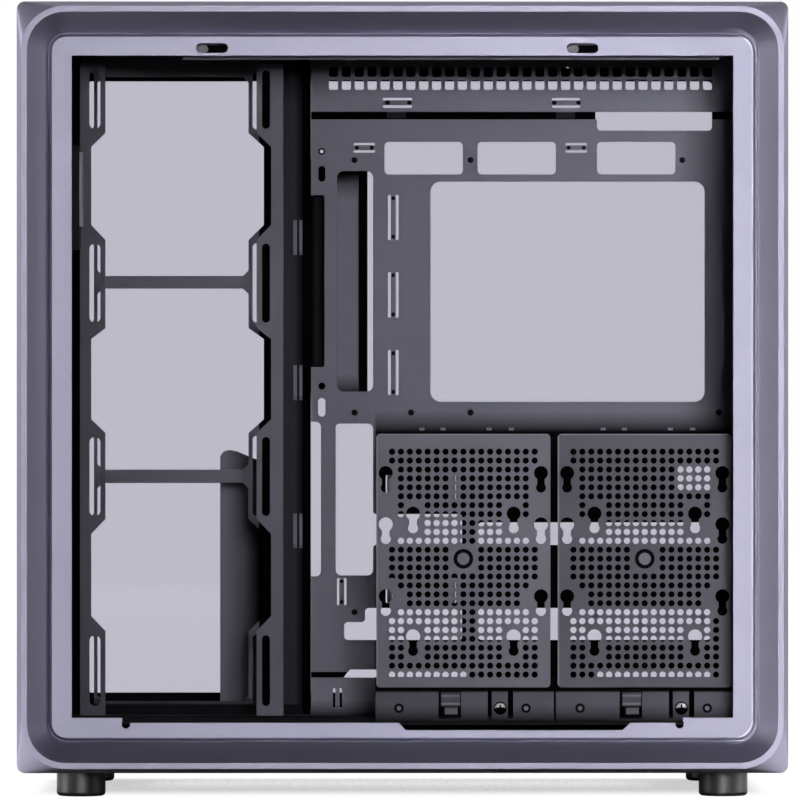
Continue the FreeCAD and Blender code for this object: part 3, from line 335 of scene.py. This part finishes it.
# painted shade: the gap strip is a grommet whose near-black stands in for the shade in the notch
MAT["shade_gap_foam"] = coated("gap_foam_strip", (0.0010, 0.0010, 0.0016), (0.0018, 0.0018, 0.0026), 0.90, 0.0, 900.0, 0.30, 0.01, zone=painted_light_flap)
MAT["grey_plastic"] = coated("grey_moulded_plastic", (0.098, 0.096, 0.118), (0.112, 0.110, 0.134), 0.46, 0.0, 2200.0, 0.25, 0.35, edge=0.0004)
for n, x0 in (("front", -0.0159), ("rear", 0.0954)):
    MAT["latch_" + n] = coated("latch_plastic_" + n, (0.098, 0.096, 0.118), (0.112, 0.110, 0.134), 0.46, 0.0, 2200.0, 0.25, 0.20, edge=0.0004, zone=painted_latch_light_and_shade(x0))
MAT["black_rubber"] = coated("black_rubber", (0.030, 0.030, 0.034), (0.038, 0.038, 0.042), 0.36, 0.0, 900.0, 0.15, 0.60)
MAT["grommet_rubber"] = coated("grommet_rubber", (0.003, 0.003, 0.004), (0.005, 0.005, 0.006), 0.80, 0.0, 900.0, 0.25, 0.05)
MAT["black_zinc"] = coated("black_zinc", (0.003, 0.003, 0.004), (0.006, 0.006, 0.007), 0.70, 0.0, 1200.0, 0.10, 0.05)
MAT["screw_steel"] = coated("dark_chrome", (0.13, 0.13, 0.14), (0.16, 0.16, 0.17), 0.32, 1.0, 1200.0, 0.05, zone=painted_reflection_screw_heads)
MAT["bright_steel"] = coated("bright_zinc", (0.58, 0.58, 0.61), (0.68, 0.68, 0.70), 0.26, 1.0, 1200.0, 0.05)


def glass():
    m, nt, bsdf, coord = start("smoked_glass")
    bsdf.inputs["Base Color"].default_value = (0.541, 0.530, 0.612, 1.0)
    bsdf.inputs["Transmission Weight"].default_value = 1.0
    bsdf.inputs["IOR"].default_value = 1.45
    n = noise(nt, coord, 9.0, 4.0)
    nt.links.new(remap(nt, n.outputs["Fac"], 0.3, 0.7, 0.0, 0.012), bsdf.inputs["Roughness"])
    return m


MAT["smoked_glass"] = glass()

# front_wall takes the matt black coat as painted shade
OWN = {"right_side_frame": "grooved_aluminium", "left_side_frame": "grooved_aluminium", "chassis_floor": "floor_steel", "drive_latch_front": "latch_front", "drive_latch_rear": "latch_rear", "fan_rail_front": "painted_shade_front_rail_steel", "fan_frame": "fan_frame_steel", "front_wall": "shade_black_steel", "gap_strip": "shade_gap_foam", "lower_rail": "lower_rail_steel",
       "upper_rail": "upper_rail_steel", "roof_lip": "lip_steel", "cable_cover": "cover_steel", "cable_shroud": "shroud_steel",
       "upper_joint_channel": "shade_black_foam", "lower_joint_channel": "shade_black_foam", "captive_screws": "screw_steel",
       "plate_grommets": "grommet_rubber", "small_grommets": "grommet_rubber", "port_bracket": "edge_highlight_steel",
       "drive_hanger_front": "hanger_steel", "drive_hanger_rear": "hanger_steel", "glass_studs": "black_zinc",
       "right_catches": "grey_plastic", "drive_plate_rear": "rear_plate_steel", "drive_bracket_front": "painted_shade_bracket_steel", "drive_bracket_rear": "painted_shade_bracket_steel"}
for n in ("tray_top_edge", "tray_upper", "tray_middle", "tray_lower", "tray_cross", "tray_foot"):
    OWN[n] = "tray_steel"
slot_of = {s["node"]: s["material_slot"] for s in frame["record"]["subparts"]}
for name, obj in nodes.items():
    obj.data.materials.clear()
    obj.data.materials.append(MAT[OWN.get(name, slot_of[name])])
    obj.data.materials.append(MAT["shade_black_steel"])
    for poly in obj.data.polygons:
        # painted shade: the shroud's far wall is matt black; the inward face of the glass side's frame is matt black
        # too, partly for the glass's black border and partly as painted shade
        inner = name == "cable_shroud" and poly.normal.x < -0.5 and poly.center.x > -0.03
        inner = inner or (name == "left_side_frame" and poly.normal.y < -0.5)
        poly.material_index = 1 if inner else 0


# ---------------------------------------------------------------- small pieces
def dome(verts, faces, x, y, z, r, h, turn=16):
    # low button facing the open side: flat skirt, rounded shoulder, small dimple in the middle
    prof = ((1.0, 0.0), (1.0, 0.45), (0.86, 0.85), (0.55, 1.0), (0.28, 0.92), (0.0, 0.80))
    base = len(verts)
    for f, k in prof[:-1]:
        for i in range(turn):
            a = 2.0 * math.pi * i / turn
            verts.append((x + r * f * math.cos(a), y - h * k, z + r * f * math.sin(a)))
    verts.append((x, y - h * prof[-1][1], z))
    for j in range(len(prof) - 2):
        for i in range(turn):
            a, b = base + j * turn + i, base + j * turn + (i + 1) % turn
            faces.append((a, b, b + turn, a + turn))
    last = base + (len(prof) - 2) * turn
    for i in range(turn):
        faces.append((last + i, last + (i + 1) % turn, len(verts) - 1))
    faces.append(tuple(base + i for i in range(turn))[::-1])


def piece(name, verts, faces, mat, body):
    me = bpy.data.meshes.new(name)
    me.from_pydata(verts, [], faces)
    me.validate()
    me.update()
    o = bpy.data.objects.new(name, me)
    scene.collection.objects.link(o)
    me.materials.append(MAT[mat])
    for p in me.polygons:
        p.use_smooth = True
    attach(o, body)
    return o


# painted shade: black buttons at the ends of the tie straps, where the straps rise (mm, heights in the shared frame)
LIFT = 1.5
TIES = [("x", -29.7, -16.4, 395.3, 401.3), ("x", 102.4, 115.8, 395.3, 401.3),
        ("z", 340.8, 368.8, -8.3, -1.7), ("z", 292.4, 320.8, -8.3, -1.7), ("z", 244.1, 272.2, -8.3, -1.7),
        ("z", 113.1, 130.0, -40.1, -34.2)]
verts, faces = [], []
for axis, u1, u2, v1, v2 in TIES:
    v = (v1 + v2) / 2.0
    for u in (u1 + 2.0, u2 - 2.0):
        px, pz = (u, v) if axis == "x" else (v, u)
        dome(verts, faces, px / 1000.0, -0.01702, (pz + LIFT) / 1000.0, 0.0013, 0.0004)
for px in (-8.5, 5.05, 95.3, 110.5):
    dome(verts, faces, px / 1000.0, -0.01702, (426.4 + LIFT) / 1000.0, 0.0015, 0.0004)
piece("painted_shade_tie_buttons", verts, faces, "black_zinc", "case")


def pad(verts, faces, x1, x2, y1, y2, z1, z2, c):
    # soft pad: block with all its upright corners and its inner rim chamfered
    base = len(verts)
    for k, y in ((c, y1), (0.0, y1 + c), (0.0, y2)):
        for x, z in ((x1 + c, z1), (x2 - c, z1), (x2, z1 + c), (x2, z2 - c), (x2 - c, z2), (x1 + c, z2), (x1, z2 - c), (x1, z1 + c)):
            cx, cz = (x1 + x2) / 2.0, (z1 + z2) / 2.0
            verts.append((x + (k if x < cx else -k), y, z + (k if z < cz else -k)))
    for j in range(2):
        for i in range(8):
            a, b = base + 8 * j + i, base + 8 * j + (i + 1) % 8
            faces.append((a, b, b + 8, a + 8))
    faces.append(tuple(base + i for i in range(8))[::-1])
    faces.append(tuple(base + 16 + i for i in range(8)))


# painted shade: near-black foam pads close the glass side's catch slots from inside, beside and below the catches
verts, faces = [], []
for a, b in ((-126.0, -106.5), (100.2, 119.7)):
    pad(verts, faces, (a + 7.8) / 1000.0, (b + 0.6) / 1000.0, 0.1236, 0.1247, 0.4528, 0.4609, 0.0004)
    pad(verts, faces, (a - 0.6) / 1000.0, (a + 7.7) / 1000.0, 0.1236, 0.1247, 0.4528, 0.45473, 0.0003)
piece("painted_shade_slot_pads", verts, faces, "shade_black_foam", "case")

# ---------------------------------------------------------------- floor
bpy.ops.mesh.primitive_plane_add(size=16.0, location=(0, 0, -0.0003))
floor = bpy.context.object
floor.name = "studio_floor"


def direct_sight(nt):
    # 1 where the eye looks straight or through glass at the studio, 0 where the studio is only seen by bounced light
    lp = nt.nodes.new("ShaderNodeLightPath")
    depth = math_node(nt, "ADD", lp.outputs["Diffuse Depth"], lp.outputs["Glossy Depth"])
    return math_node(nt, "LESS_THAN", depth, 0.5)


fm, nt, bsdf, coord = start("pale_floor")
paper = noise(nt, coord, 60.0, 3.0)
nt.links.new(ramp(nt, paper, (0.05, 0.05, 0.05), (0.06, 0.06, 0.06)).outputs["Color"], bsdf.inputs["Base Color"])
bsdf.inputs["Roughness"].default_value = 0.9
bsdf.inputs["Specular IOR Level"].default_value = 0.0
bsdf.inputs["Emission Color"].default_value = (1.0, 1.0, 1.0, 1.0)
ao = nt.nodes.new("ShaderNodeAmbientOcclusion")
ao.samples = 8
ao.inputs["Distance"].default_value = 0.06
fx, fy, fz = xyz(nt, coord)
# painted shadow: the floor's glow is dimmed by ambient occlusion under the case and brought back to full towards the
# front
glow = remap(nt, ao.outputs["AO"], 0.10, 0.26, UNDER_CASE, 1.0)
glow = math_node(nt, "MAXIMUM", glow, remap(nt, fy, 0.000, -0.115, UNDER_CASE, 1.0, "SMOOTHSTEP"))
sheen = remap(nt, ao.outputs["AO"], 0.45, 0.90, 0.0, FLOOR_GLOSS)
flp = nt.nodes.new("ShaderNodeLightPath")
sheen = math_node(nt, "MULTIPLY", sheen, math_node(nt, "LESS_THAN", flp.outputs["Diffuse Depth"], 0.5))
side = math_node(nt, "ABSOLUTE", fx, 0.0)
beside = math_node(nt, "MULTIPLY", remap(nt, side, 0.215, 0.255), remap(nt, side, 0.42, 0.34))
beside = math_node(nt, "MULTIPLY", beside, remap(nt, math_node(nt, "ABSOLUTE", fy, 0.0), 0.34, 0.26))
away = math_node(nt, "MAXIMUM", remap(nt, side, 0.60, 1.00, 0.0, FLOOR_FAR), remap(nt, fy, 0.40, 0.80, 0.0, FLOOR_FAR))
sheen = math_node(nt, "MULTIPLY", sheen, math_node(nt, "MAXIMUM", beside, away))
seen = direct_sight(nt)
unseen = math_node(nt, "SUBTRACT", 1.0, seen)
shown = math_node(nt, "ADD", math_node(nt, "MULTIPLY", glow, seen), math_node(nt, "MULTIPLY", sheen, unseen))
nt.links.new(shown, bsdf.inputs["Emission Strength"])
fm.cycles.emission_sampling = "NONE"
floor.data.materials.append(fm)

# ---------------------------------------------------------------- studio
world = bpy.data.worlds.new("studio")
scene.world = world
world.cycles.sampling_method = "NONE"
world.use_nodes = True
wn = world.node_tree
wn.nodes.clear()
wout = wn.nodes.new("ShaderNodeOutputWorld")
bg = wn.nodes.new("ShaderNodeBackground")
wn.links.new(bg.outputs["Background"], wout.inputs["Surface"])
wlp = wn.nodes.new("ShaderNodeLightPath")
mx = wn.nodes.new("ShaderNodeMapRange")
mx.inputs["To Max"].default_value = 1.0
wn.links.new(direct_sight(wn), mx.inputs["Value"])
wtc = wn.nodes.new("ShaderNodeTexCoord")
wsep = wn.nodes.new("ShaderNodeSeparateXYZ")
wn.links.new(wtc.outputs["Generated"], wsep.inputs[0])
raised = math_node(wn, "MULTIPLY", remap(wn, wsep.outputs[1], 0.25, 0.60), remap(wn, wsep.outputs[2], 0.10, 0.30))
sky = remap(wn, raised, 0.0, 1.0, AMBIENT_GLOSS, SKY_BACK)
bounced = math_node(wn, "GREATER_THAN", wlp.outputs["Diffuse Depth"], 0.5)
level = wn.nodes.new("ShaderNodeMapRange")
wn.links.new(bounced, level.inputs["Value"])
wn.links.new(sky, level.inputs["To Min"])
level.inputs["To Max"].default_value = AMBIENT
wn.links.new(level.outputs["Result"], mx.inputs["To Min"])
wn.links.new(mx.outputs["Result"], bg.inputs["Strength"])
bg.inputs["Color"].default_value = (1.0, 1.0, 1.0, 1.0)


def softbox(name, loc, target, size, watts, spread=None, diffuse=True, glossy=True):
    d = bpy.data.lights.new(name, "AREA")
    d.shape = "RECTANGLE"
    d.size, d.size_y = size
    d.energy = watts
    if spread:
        d.spread = math.radians(spread)
    o = bpy.data.objects.new(name, d)
    scene.collection.objects.link(o)
    o.location = loc
    o.rotation_euler = (Vector(target) - Vector(loc)).to_track_quat("-Z", "Y").to_euler()
    o.visible_camera = False
    o.visible_transmission = False
    o.visible_diffuse = diffuse
    o.visible_glossy = glossy
    return o


AIM = (0.47, -0.1, 0.32)
for i, (kx, share) in enumerate(((0.45, 0.74), (1.05, 1.04), (1.65, 1.34))):
    softbox("key_high_%d" % i, (kx, -7.0, 1.38), AIM, (0.60, 0.80), 0.68 * share, 13.5, glossy=False)
    softbox("key_middle_%d" % i, (kx, -7.0, 0.78), AIM, (0.60, 0.40), 0.36 * share, 13.5, glossy=False)
SHEEN_AIM = (0.34, -0.1, 0.30)
softbox("sheen_high", (0.82, -7.0, 1.35), SHEEN_AIM, (0.60, 0.60), 1.46, 18.0, diffuse=False)
softbox("sheen_middle", (0.82, -7.0, 0.75), SHEEN_AIM, (0.60, 0.50), 1.18, 18.0, diffuse=False)
softbox("fill_gloss", (-0.80, -7.0, 0.46), (-0.1, -0.1, 0.15), (0.60, 0.90), 47, diffuse=False)
softbox("low_gloss", (-0.90, -5.0, 0.07), (0, -0.1, 0.08), (0.90, 0.12), 6, diffuse=False)
softbox("corner_left", (-2.4, 1.0, 3.0), (0, 0, 0.3), (1.2, 1.2), 8, diffuse=False)
softbox("corner_right", (2.4, 1.0, 3.0), (0, 0, 0.3), (1.2, 1.2), 8, diffuse=False)
softbox("left_strip", (-2.6, -0.75, 0.35), (0, -0.15, 0.25), (0.4, 1.2), 24, diffuse=False)
softbox("right_strip", (2.6, -0.75, 0.35), (0, -0.15, 0.25), (0.4, 1.2), 12, diffuse=False)
softbox("right_side", (2.6, 0.0, 0.5), (0, 0, 0.25), (0.22, 1.6), 24)
softbox("left_side", (-2.6, 0.0, 0.5), (0, 0, 0.25), (0.22, 1.6), 22)
softbox("top", (0.0, 0.0, 3.2), (0, 0, 0), (2.0, 0.24), 11)
softbox("back", (0.6, 5.0, 1.6), (0, 0, 0.25), (2.4, 2.4), 60)

# ---------------------------------------------------------------- camera
cam_data = bpy.data.cameras.new("camera")
cam_data.sensor_width = 36.0
cam_data.sensor_fit = "HORIZONTAL"
cam_data.lens = 384.6
cam_data.clip_end = 60.0
cam = bpy.data.objects.new("camera", cam_data)
scene.collection.objects.link(cam)
cam.location = (-0.035, -5.345, 0.2543)
aim = Vector((-0.00164, -0.145, 0.2428))
cam.rotation_euler = (aim - cam.location).to_track_quat("-Z", "Y").to_euler()
scene.camera = cam
